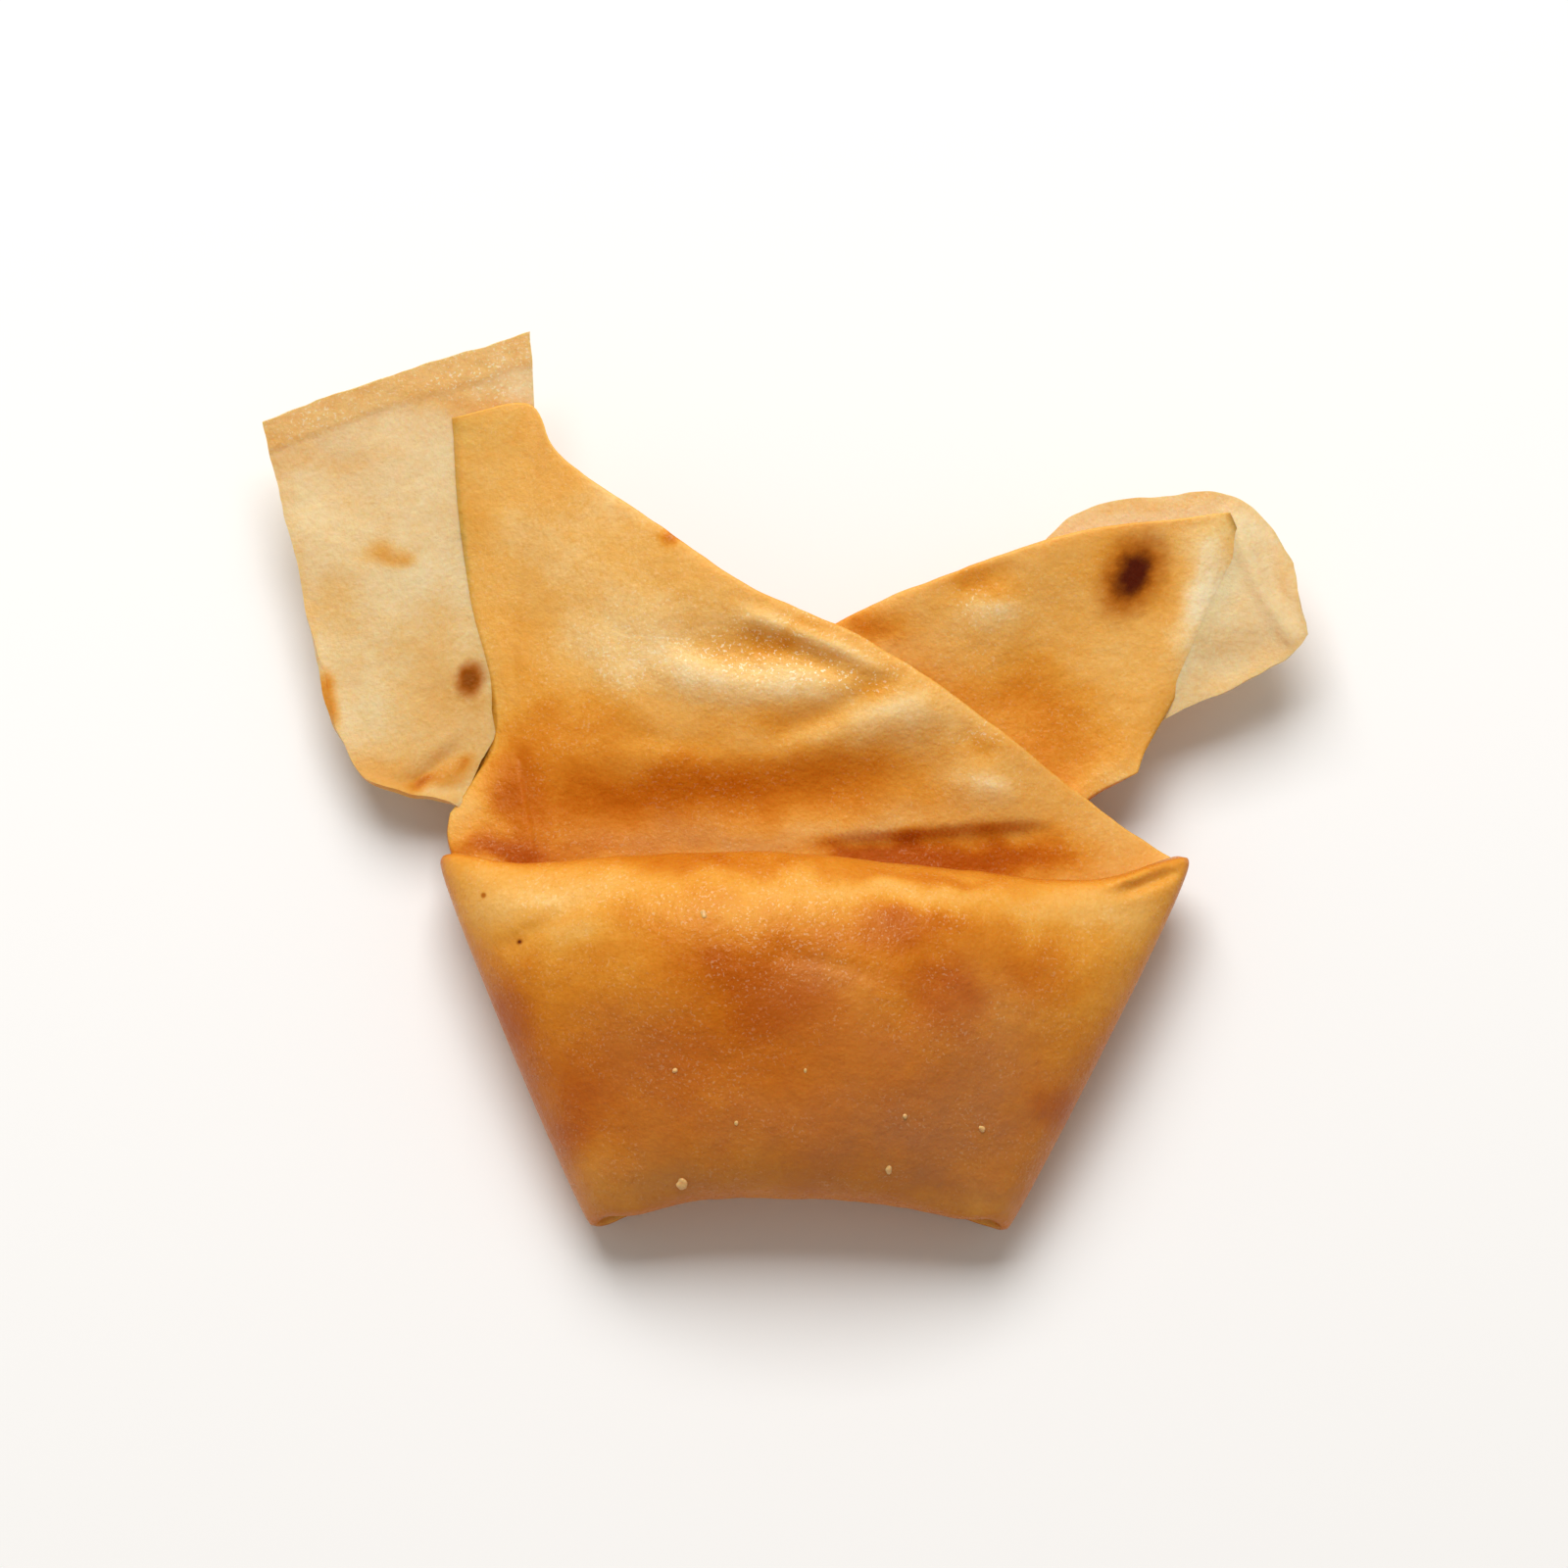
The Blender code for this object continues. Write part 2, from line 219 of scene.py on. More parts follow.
# Toasted, bare and filled patches: the middle and half sizes in pixels of the photograph, then the strength.
# Some of them are painted shade or a painted sheen.
POCKET_TOAST = (
    ((800, 1080), (190, 78), 0.36), ((771, 1028), (24, 13), 0.32), ((857, 1008), (30, 9), 0.34),
    ((872, 1036), (19, 14), 0.34), ((787, 1048), (28, 12), 0.26), ((662, 1041), (18, 20), 0.22),
    ((692, 1089), (17, 20), 0.28), ((765, 972), (52, 7), 0.24), ((868, 978), (44, 5), 0.20),
    ((763, 990), (24, 8), 0.08), ((740, 1070), (38, 14), 0.14), ((928, 1088), (11, 11), 0.26),
    ((914, 1022), (20, 14), 0.18), ((665, 1060), (14, 34), 0.05), ((722, 1004), (14, 8), 0.10),
    ((800, 1018), (60, 14), 0.12),
)
POCKET_BARE = (
    ((668, 990), (38, 12), 0.14), ((690, 1012), (22, 8), 0.12), ((950, 998), (34, 12), 0.14),
    ((800, 990), (120, 8), 0.06), ((700, 1132), (22, 14), 0.10), ((830, 1046), (20, 10), 0.10),
    ((852, 992), (30, 8), 0.08), ((760, 1128), (60, 12), 0.06), ((900, 1040), (16, 14), 0.08),
    ((885, 1140), (26, 8), 0.12),
)
# Where the filling shows through the pocket's skin, partly a painted sheen low on the pocket.
POCKET_FILLING_AND_SHEEN = (
    ((868, 1108), (50, 28), 0.50), ((800, 1108), (110, 34), 0.36), ((900, 1062), (30, 34), 0.55),
    ((885, 1140), (36, 14), 0.50), ((725, 1137), (30, 12), 0.30), ((815, 1036), (30, 12), 0.30),
    ((730, 1130), (40, 16), 0.30), ((835, 1060), (40, 18), 0.25), ((720, 1062), (30, 24), 0.25),
)
# The strip's filled patches are a painted sheen, laid with the filling's colour.
STRIP_SHEEN = (((752, 960), (66, 10), 0.50), ((850, 946), (26, 6), 0.20))
# The strip's toasted patches in the hollow under the lip and along the pocket's rim are painted shade.
STRIP_TOAST_AND_SHADE = (
    ((745, 937), (88, 12), 0.24), ((870, 969), (38, 9), 0.95), ((836, 966), (20, 5), 0.45),
    ((800, 866), (24, 4), 0.14), ((824, 880), (16, 4), 0.10), ((791, 904), (28, 7), 0.16),
    ((918, 967), (22, 8), 0.30), ((836, 888), (18, 5), 0.12), ((891, 914), (12, 6), 0.10),
    ((664, 950), (13, 26), 0.26), ((720, 966), (60, 8), 0.14), ((650, 966), (24, 8), 0.60),
    ((642, 800), (9, 60), 0.04), ((741, 815), (5, 3), 0.40), ((657, 927), (13, 18), 0.24),
    ((690, 902), (32, 16), 0.18), ((762, 928), (38, 9), 0.12), ((835, 924), (26, 8), 0.14),
    ((792, 926), (34, 10), 0.14), ((692, 928), (38, 22), 0.20), ((850, 938), (60, 12), 0.10),
    ((740, 950), (66, 12), 0.12), ((690, 962), (40, 12), 0.16), ((872, 955), (34, 5), 0.10),
    ((925, 962), (20, 12), 0.10),
)
STRIP_BARE = (
    ((800, 878), (34, 5), 0.06), ((735, 862), (34, 14), 0.12), ((850, 898), (40, 6), 0.06),
    ((840, 952), (34, 4), 0.14), ((896, 932), (14, 7), 0.14), ((705, 800), (26, 14), 0.05),
    ((880, 952), (30, 3), 0.08),
)
RIGHT_TOAST = (
    ((925, 912), (44, 28), 0.14), ((880, 884), (50, 14), 0.14), ((838, 856), (22, 8), 0.20),
    ((896, 838), (18, 8), 0.16), ((985, 892), (8, 26), 0.08), ((968, 830), (24, 20), 0.14),
)
RIGHT_BARE = (
    ((896, 848), (14, 8), 0.10), ((960, 934), (14, 9), 0.16), ((990, 812), (26, 8), 0.05),
    ((1006, 830), (8, 20), 0.12), ((1000, 850), (9, 20), 0.12),
)
LEFT_LAYER_TOAST = (
    ((597, 818), (7, 6), 0.22), ((574, 848), (14, 18), 0.06), ((598, 925), (44, 14), 0.20),
    ((619, 928), (7, 5), 0.50), ((630, 920), (5, 4), 0.30), ((566, 889), (5, 10), 0.36),
    ((632, 885), (22, 30), 0.14), ((570, 775), (30, 8), 0.06), ((612, 940), (30, 3), 0.12),
    ((640, 744), (26, 6), 0.14), ((600, 870), (40, 40), 0.04),
)
RIGHT_LAYER_TOAST = (
    ((1008, 876), (30, 16), 0.03), ((985, 797), (40, 6), 0.06), ((1046, 830), (5, 20), 0.05),
)
# Oily patches: the skin is oilier there, and pale glints are painted into its colour as highlights.
POCKET_OIL_AND_GLINT = (
    ((790, 1002), (90, 14), 0.28), ((690, 990), (40, 12), 0.22), ((800, 1035), (60, 20), 0.10),
)
STRIP_OIL_AND_GLINT = (
    ((772, 872), (50, 12), 1.0), ((812, 882), (30, 8), 0.9), ((800, 858), (22, 4), 0.5),
    ((893, 906), (16, 6), 0.4), ((893, 932), (18, 8), 0.4), ((720, 862), (30, 20), 0.4),
)
RIGHT_OIL_AND_GLINT = (((893, 848), (14, 8), 0.6), ((890, 862), (18, 8), 0.2), ((960, 934), (14, 8), 0.4))
LEFT_LAYER_OIL_AND_GLINT = (((650, 736), (26, 12), 1.0), ((560, 752), (30, 10), 0.5))
RIGHT_LAYER_OIL_AND_GLINT = (((1005, 800), (24, 8), 0.6),)
PATCH_WAVES = ((6.0, 1.8), (2.5, 1.0))

# The heights that the patches are laid at.
LAYER_LEVEL, STRIP_LEVEL, CREST_LEVEL, POCKET_EDGE_LEVEL, POCKET_LEVEL = 7.5, 9, 11, 14, 15

# How toasted the skin is without its patches, on the pocket, the strips, the layers and beneath, and what
# creases, steep places, the hem and the layers' borders change. Creases get painted shade in their valleys
# and painted light on their ridges, and steep places get painted shade. The hem is oilier too, with more
# painted glints.
POCKET_BASE, STRIP_BASE, LAYER_BASE, UNDER_BASE = 0.34, 0.27, 0.05, 0.50
CREASE_LIGHT_AND_SHADE = 0.24
STEEP_SHADE = 0.16
HEM_TOAST, BORDER_TOAST = 0.07, 0.04
HEM_OIL_AND_GLINT = 0.3

# Burnt spots: the middle and half sizes in pixels of the photograph, the turn in degrees and the strength.
# Then where the core and the halo start and stop fading, as shares of the half sizes, how ragged the outline
# is and how deep a spot reaches.
BURNT_SPOTS = {
    "wrapper": (
        ((967.5, 832), (16.5, 10.5), 60, 1.0),
        ((664, 1014), (1.2, 1.0), 0, 0.9),
        ((646, 991), (1.0, 1.0), 0, 0.1),
    ),
    "left_wing": (((638.5, 884), (6.4, 5.0), 70, 0.38),),
    "right_wing": (),
}
BURNT_CORE, BURNT_HALO = (0.35, 1.15), (0.7, 2.0)
BURNT_RAGGED = 0.75
BURNT_DEPTH = 4.0

# Crumbs: the pixel of the photograph that shows each and its radius, then how one is squashed and roughened.
CRUMBS = (
    ((744, 1133), 0.50), ((846, 1126), 0.34), ((892, 1106), 0.26), ((755, 1000), 0.30),
    ((741, 1077), 0.22), ((854, 1100), 0.24), ((805, 1077), 0.18), ((771, 1103), 0.18),
)
CRUMB_SQUASH = (1.25, 0.9, 0.55)
CRUMB_BUMP, CRUMB_ROUGHNESS = 0.45, 0.45
CRUMB_SEED = 4.0

# Unevenness of the skin: the size of its waves and how far they move it. The tube's edges take only a share.
SKIN_WAVES = ((12.0, 0.45), (5.0, 0.14), (2.2, 0.04), (1.1, 0.02))
EDGE_WAVES = ((5.0, 0.30), (1.6, 0.12))
TUBE_EDGE_SHARE = 0.5
SKIN_SEED, ACROSS_SEED, UP_SEED, HEM_SEED = 2.0, 3.0, 8.0, 5.0

# Unevenness of the colour: the size of its grains, and how far they change how toasted the skin is. A thin
# layer takes only a share.
CLOUD, MOTTLE, SPECK = (7.0, 0.18), (2.2, 0.12), (0.4, 0.14)
THIN_STIR = 0.8

# How oily the skin is at most without its patches, which also sets where glints are painted, how far the
# painted glints show in the skin's colour, the share of light that a thin layer lets through and how much
# less its hem does.
OIL_AND_GLINT_CLOUD = 0.14
GLINT = 0.8
LAYER_GLOW, HEM_SHADE = 0.24, 0.12

# Colours of the skin, from bare dough through gold to brown, as the light reflects from it.
SKIN_STOPS = (
    (0.00, (0.96, 0.80, 0.50)), (0.14, (0.90, 0.60, 0.24)), (0.25, (0.84, 0.46, 0.115)),
    (0.40, (0.78, 0.34, 0.042)), (0.55, (0.68, 0.23, 0.014)), (0.70, (0.58, 0.155, 0.004)),
    (0.85, (0.50, 0.110, 0.002)), (1.00, (0.46, 0.090, 0.001)),
)
# The filling's colour through the skin, also used as a painted sheen.
FILLING_AND_SHEEN_COLOUR = (0.44, 0.178, 0.075, 1)
SCORCHED_COLOUR = (0.48, 0.13, 0.004, 1)
BURNT_COLOUR = (0.085, 0.006, 0.001, 1)
# The pale colour of the painted glints.
GLINT_COLOUR = (1.0, 0.86, 0.60, 1)
CRUMB_COLOUR = (0.86, 0.56, 0.24, 1)
CRUMB_SHADE = (0.74, 0.38, 0.10, 1)
SHEEN_TINT = (1.0, 0.78, 0.44, 1)

# The floor, the lamp behind and above the wonton, and the weak fill from the room.
FLOOR_SIZE = 3000.0
FLOOR_COLOUR = (0.93, 0.93, 0.925, 1)
LAMP_PLACE = (-80.0, 600.0, 880.0)
LAMP_SIZE = 700.0
LAMP_POWER = 11.4
ROOM_COLOUR = (1.0, 0.92, 0.83, 1)
ROOM_STRENGTH = 0.34


def spline(points, at, knots=None):
    """The smooth curve through points, read at places from 0 to 1; knots are the points' own places."""
    points = np.asarray(points, float)
    knots = np.linspace(0, 1, len(points)) if knots is None else knots
    slopes = np.gradient(points, knots, axis=0)
    first = np.clip(np.searchsorted(knots, at, side="right") - 1, 0, len(points) - 2)
    span = (knots[first + 1] - knots[first]).reshape(-1, *[1] * (points.ndim - 1))
    t = (at - knots[first]).reshape(span.shape) / span
    start, end = points[first], points[first + 1]
    leave, arrive = slopes[first] * span, slopes[first + 1] * span
    return (
        start + t * leave
        + t**2 * (3 * (end - start) - 2 * leave - arrive)
        + t**3 * (2 * (start - end) + leave + arrive)
    )


def smooth_step(low, high, value):
    """0 below low, 1 above high, and a smooth rise between them."""
    share = np.clip((value - low) / (high - low), 0.0, 1.0)
    return share * share * (3 - 2 * share)


def plan(pixel, height):
    """Where a pixel of the photograph lies in plan, in millimetres, on something at that height."""
    across = (pixel[0] - PHOTO_ORIGIN[0]) * PIXEL
    up = (PHOTO_ORIGIN[1] - pixel[1]) * PIXEL
    return np.array((across, (up - height * math.cos(VIEW_RISE)) / math.sin(VIEW_RISE)))


def nearest(path, height, points):
    """How far points are from a bent path, on which side, and how far along it the nearest place is."""
    start, bend, end = (plan(pixel, height) for pixel in path)
    steps = np.linspace(0, 1, PATH_STEPS + 1)
    curve = np.array([(1 - t) ** 2 * start + 2 * t * (1 - t) * bend + t**2 * end for t in steps])
    apart = points[:, None, :2] - curve[None]
    gaps = np.hypot(apart[..., 0], apart[..., 1])
    index = gaps.argmin(axis=1)
    ahead = np.gradient(curve, axis=0)[index]
    away = apart[np.arange(len(points)), index]
    side = np.sign(ahead[:, 0] * away[:, 1] - ahead[:, 1] * away[:, 0])
    past = (away * ahead).sum(axis=1) / (ahead**2).sum(axis=1)
    away = away - ahead * np.clip(past, -0.5, 0.5)[:, None]
    along = np.clip(steps[index] + past / PATH_STEPS, 0, 1)
    return np.hypot(away[:, 0], away[:, 1]), side, along


def creased(creases, points):
    """The rise that soft creases add at points."""
    total = np.zeros(len(points))
    for start, bend, end, height, width, rise in creases:
        gap, _, along = nearest((start, bend, end), height, points)
        ends = along + CREASE_EARLY, 1 + CREASE_EARLY - along
        fade = smooth_step(0, CREASE_FADE, ends[0]) * smooth_step(0, CREASE_FADE, ends[1])
        total += rise * fade * np.exp(-((gap / width) ** 2))
    return total


def ledged(ledges, points):
    """The rise that ledges add: a sharp step on the right of the path, which fades away from it."""
    total = np.zeros(len(points))
    for start, bend, end, height, width, rise, reach in ledges:
        gap, side, along = nearest((start, bend, end), height, points)
        signed = -gap * side
        fade = smooth_step(0, LEDGE_GROWS, along) * smooth_step(0, LEDGE_FADES, 1 - along)
        step = smooth_step(-width, width, signed) * np.exp(-((np.maximum(signed, 0) / reach) ** 2))
        total += rise * fade * step
    return total


def patched(patches, height, points):
    """The strength of soft patches at points."""
    total = np.zeros(len(points))
    for middle, halves, strength in patches:
        away = (points[:, :2] - plan(middle, height)) / (np.array(halves) * PIXEL)
        total += strength * np.exp(-(away**2).sum(axis=1))
    return total


def waves(points, layers, seed):
    """Smooth random waves at points, by their place in plan: each layer has its own size and strength."""
    total = np.zeros(len(points))
    for size, strength in layers:
        spots = [Vector((x / size, y / size, seed)) for x, y in points[:, :2]]
        total += strength * np.array([noise.noise(spot) for spot in spots])
    return total


def strayed(points):
    """The points moved about in plan, so that patches laid by them get ragged edges."""
    moved = points.copy()
    moved[:, 0] += waves(points, PATCH_WAVES, ACROSS_SEED)
    moved[:, 1] += waves(points, PATCH_WAVES, UP_SEED)
    return moved


def uneven(points, border):
    """Raises and lowers points in the skin's waves, and moves those on a border about in plan."""
    points[:, 2] += smooth_step(0.5, 3.0, points[:, 2]) * waves(points, SKIN_WAVES, SKIN_SEED)
    points[:, 2] = np.maximum(points[:, 2], 0)
    shifts = [waves(points, EDGE_WAVES, seed) for seed in (ACROSS_SEED, UP_SEED)]
    points[:, :2] += border[:, None] * np.transpose(shifts)
    return points


def deselect_all():
    bpy.ops.object.select_all(action="DESELECT")


def laid_grid(name, divisions, place):
    """A grid primitive laid over place(u, v), in millimetres, with the marks that place gives its points."""
    deselect_all()
    bpy.ops.mesh.primitive_grid_add(x_subdivisions=divisions[0], y_subdivisions=divisions[1], size=2)
    piece = bpy.context.object
    piece.name = piece.data.name = name
    spots = np.empty(len(piece.data.vertices) * 3)
    piece.data.vertices.foreach_get("co", spots)
    share = spots.reshape(-1, 3)[:, :2] / 2 + 0.5
    points, marks = place(share[:, 0], share[:, 1])
    points[:, :2] -= FOOTPRINT_MIDDLE
    piece.data.vertices.foreach_set("co", (points * MM).ravel())
    for mark, values in marks.items():
        piece.data.attributes.new(mark, "FLOAT", "POINT").data.foreach_set("value", values)
    piece.data.update()
    return piece


def in_edit_mode(piece, *steps):
    """Runs edit mode operators on the whole of a piece."""
    deselect_all()
    piece.select_set(True)
    bpy.context.view_layer.objects.active = piece
    bpy.ops.object.mode_set(mode="EDIT")
    bpy.ops.mesh.select_all(action="SELECT")
    for step, settings in steps:
        step(**settings)
    bpy.ops.object.mode_set(mode="OBJECT")


def strip_rulings(top, foot, half, loose):
    """The rulings of a free end of the tube, pressed nearly flat; its outer face looks down."""
    return [
        (high, low, (0, 0, -1), thick, thick, STRIP_ROUNDNESS, slack)
        for high, low, thick, slack in zip(top, foot, half, loose)
    ]


def fold_rulings(rim, foot, rim_low, foot_low, side):
    """The rulings of the tube's half turn at one end of the pocket, from beneath it upwards."""
    rim, foot = np.array(rim), np.array(foot)
    along = (rim - foot) / np.linalg.norm(rim - foot)
    out = np.array((along[1], -along[0])) * side
    rulings = []
    for turn, full in zip(FOLD_TURNS, FOLD_FULL):
        swing, rise = math.sin(math.radians(turn)), math.cos(math.radians(turn))
        ends = []
        for corner, high, low in ((rim, RIM_FOLD_HIGH, rim_low), (foot, FOOT_FOLD_HIGH, foot_low)):
            radius = (high - low) / 2
            flat = corner + out * (radius * swing - radius - WALL)
            ends.append((*flat, (high + low) / 2 + radius * rise))
        rulings.append((*ends, (*out * swing, rise), full, WALL, FOLD_ROUNDNESS, 0.0))
    return rulings


def tube_rulings():
    """Every ruling of the tube, from the end in the left wing, round the pocket, to the right wing's end."""
    left = strip_rulings(LEFT_STRIP_TOP, LEFT_STRIP_FOOT, LEFT_STRIP_HALF, LEFT_STRIP_LOOSE)
    right = strip_rulings(RIGHT_STRIP_TOP, RIGHT_STRIP_FOOT, RIGHT_STRIP_HALF, RIGHT_STRIP_LOOSE)
    right_fold = fold_rulings(RIM_RIGHT, FOOT_RIGHT, LEFT_STRIP_TOP[0][2], LEFT_STRIP_FOOT[0][2], 1)
    left_fold = fold_rulings(RIM_LEFT, FOOT_LEFT, RIGHT_STRIP_TOP[0][2], RIGHT_STRIP_FOOT[0][2], -1)
    pocket = [
        (top, foot, (0, 0, 1), outer, inner, POCKET_ROUNDNESS, 0.0)
        for top, foot, outer, inner in zip(RIM_LINE, FOOT_LINE, OUTER_BULGE, INNER_BULGE)
    ]
    return left[::-1] + right_fold + pocket + left_fold[::-1] + right


def end_shaped(points, across, left, right):
    """Curves the strips' end lines and turns them down; left and right grow to 1 towards the ends."""
    for end, shift, drop in ((left, LEFT_END_SHIFT, LEFT_END_DROP), (right, RIGHT_END_SHIFT, RIGHT_END_DROP)):
        places, moves = np.array(shift).T
        points[:, 0] += smooth_step(0, 1, end) * spline(moves, across, places)
        turned = np.clip((end - DROP_START) / DROP_LENGTH, 0, 1) ** 2
        points[:, 2] -= drop * turned * smooth_step(-1.0, -0.6, across)


def tube_knots(rulings):
    """Where each ruling comes along the tube, from 0 to 1; the tube's turns count as length too."""
    tops, feet, outs = rulings[:3]
    lengths, turns = (
        np.linalg.norm(np.diff(values, axis=0), axis=1)
        for values in ((tops + feet) / 2, outs)
    )
    steps = lengths + TURN_SHARE * turns
    return np.concatenate(([0.0], np.cumsum(steps))) / steps.sum()


def wrapper_marks(left, right, pocket, creases, spots):
    """How toasted the wrapper is, with the painted shade and light of its creases, how far its filling shows
    through, with a painted sheen, and how oily it is, which also sets where glints are painted, face by face.
    """
    toast_and_shade = np.where(left | right, STRIP_BASE, UNDER_BASE) * (1 - pocket) + POCKET_BASE * pocket
    toast_and_shade += left * (patched(STRIP_TOAST_AND_SHADE, STRIP_LEVEL, spots) - patched(STRIP_BARE, CREST_LEVEL, spots))
    toast_and_shade += right * (patched(RIGHT_TOAST, STRIP_LEVEL, spots) - patched(RIGHT_BARE, STRIP_LEVEL, spots))
    toast_and_shade += pocket * patched(POCKET_TOAST, POCKET_LEVEL, spots)
    toast_and_shade -= pocket * patched(POCKET_BARE, POCKET_EDGE_LEVEL, spots)
    filling_and_sheen = pocket * patched(POCKET_FILLING_AND_SHEEN, POCKET_LEVEL, spots)
    filling_and_sheen += left * patched(STRIP_SHEEN, STRIP_LEVEL, spots)
    oil_and_glint = sum(
        face * patched(patches, CREST_LEVEL, spots)
        for face, patches in ((left, STRIP_OIL_AND_GLINT), (right, RIGHT_OIL_AND_GLINT), (pocket, POCKET_OIL_AND_GLINT))
    )
    # Creases darken the colour in their valleys and lighten it on their ridges: painted shade and painted
    # light.
    return {"toast_and_shade": toast_and_shade - CREASE_LIGHT_AND_SHADE * creases, "filling_and_sheen": filling_and_sheen, "oil_and_glint": oil_and_glint}


def wrapper_place(u, v):
    """The rolled wrapper's skin, as the solid has it, with its creases and its toasted patches, some of which
    are painted shade.
    """
    rulings = [np.array(part, float) for part in zip(*tube_rulings())]
    knots = tube_knots(rulings)
    u = np.interp(u, *zip(*COLUMN_STOPS))
    top, foot, out, outer, inner, roundness, loose = (spline(part, u, knots) for part in rulings)
    out /= np.linalg.norm(out, axis=1)[:, None]
    fewest, most = OUTSIDE_ROWS
    outside = fewest + (most - fewest) * smooth_step(-0.3, 0.3, out[:, 2])
    round_outside = v < outside
    share = np.where(round_outside, v / outside, (1 - v) / (1 - outside))
    across = ROW_CROWDING * -np.cos(math.pi * share) + (1 - ROW_CROWDING) * (2 * share - 1)
    rise = np.where(round_outside, 1, -1) * np.sqrt(np.clip(1 - across**2, 0, 1))
    lift = np.sign(rise) * np.abs(rise) ** roundness * np.where(rise > 0, outer, inner)
    plump = np.clip(lift / max(OUTER_BULGE), 0, 1)
    inside = 1 - across**2
    along = across + CREST_SHIFT * plump * inside
    points = (top + foot) / 2 + (top - foot) / 2 * along[:, None] + out * lift[:, None]
    left_end, right_end = knots[LEFT_END_RULINGS], 1 - knots[-1 - RIGHT_END_RULINGS]
    end_shaped(points, across, 1 - u / left_end, 1 - (1 - u) / right_end)
    loose = np.clip(loose, 0, 1)
    facing = smooth_step(0.0, 0.5, np.abs(rise))
    left, right = (rise < 0) & (u < LEFT_STRIP_STOPS), (rise < 0) & (u > RIGHT_STRIP_STARTS)
    pocket = smooth_step(0.0, 1.0, out[:, 2]) * (rise > 0) * facing
    points[:, 2] -= loose * inside * STRIP_SAG
    free = left * facing * smooth_step(0.0, 0.25, loose)
    creases = free * creased(STRIP_CREASES, points)
    creases += right * facing * creased(RIGHT_STRIP_CREASES, points)
    ledges = free * ledged(STRIP_LEDGES, points)
    marks = wrapper_marks(left, right, pocket, creases, strayed(points))
    points[:, 2] += creases + ledges + pocket * creased(POCKET_CREASES, points)
    bulging = smooth_step(0.2, 0.8, np.abs(out[:, 2]) * (rise > 0) * inside)
    border = smooth_step(0.9, 1.0, np.abs(across)) * (1 - bulging)
    return uneven(points, TUBE_EDGE_SHARE * border), marks


def layer_place(foot, top, sag, creases, patches, oil_and_glint_patches, hem):
    """A wing's loose layer between its foot edge and its top edge, with a hem along the top if it has one."""

    def place(u, v):
        low, high = spline(foot, u), spline(top, u)
        points = low + (high - low) * v[:, None]
        points[:, 2] -= sag * 4 * v * (1 - v)
        root = (1 - smooth_step(0.0, ROOT_REACH, u)) * (1 - smooth_step(*ROOT_STOPS, v))
        points[:, 2] -= ROOT_DROP * root
        border = 1 - smooth_step(0.0, BORDER_SHARE, np.minimum(np.minimum(v, 1 - v), 1 - u))
        from_top = (1 - v) * np.linalg.norm(high - low, axis=1) + waves(points, EDGE_WAVES, HEM_SEED)
        hemmed = hem * (1 - smooth_step(HEM_DEPTH - HEM_SOFTNESS, HEM_DEPTH + HEM_SOFTNESS, from_top))
        points[:, 2] += creased(creases, points) + HEM_STEP * hemmed
        toast_and_shade = LAYER_BASE + patched(patches, LAYER_LEVEL, strayed(points))
        toast_and_shade += HEM_TOAST * hemmed + BORDER_TOAST * border
        oil_and_glint = patched(oil_and_glint_patches, STRIP_LEVEL, points) + HEM_OIL_AND_GLINT * hemmed
        return uneven(points, border), {"toast_and_shade": toast_and_shade, "thick": hemmed, "oil_and_glint": oil_and_glint}

    return place


class Wire:
    """The output of a shader node, which sums and products can be written with."""

    def __init__(self, recipe, socket):
        self.recipe, self.socket = recipe, socket

    def sum_of(self, operation, first, second):
        return self.recipe.node("ShaderNodeMath", {"operation": operation}, {0: first, 1: second})

    def __add__(self, other):
        return self.sum_of("ADD", self, other)

    def __radd__(self, other):
        return self.sum_of("ADD", other, self)

    def __sub__(self, other):
        return self.sum_of("SUBTRACT", self, other)

    def __rsub__(self, other):
        return self.sum_of("SUBTRACT", other, self)

    def __mul__(self, other):
        return self.sum_of("MULTIPLY", self, other)

    def __rmul__(self, other):
        return self.sum_of("MULTIPLY", other, self)


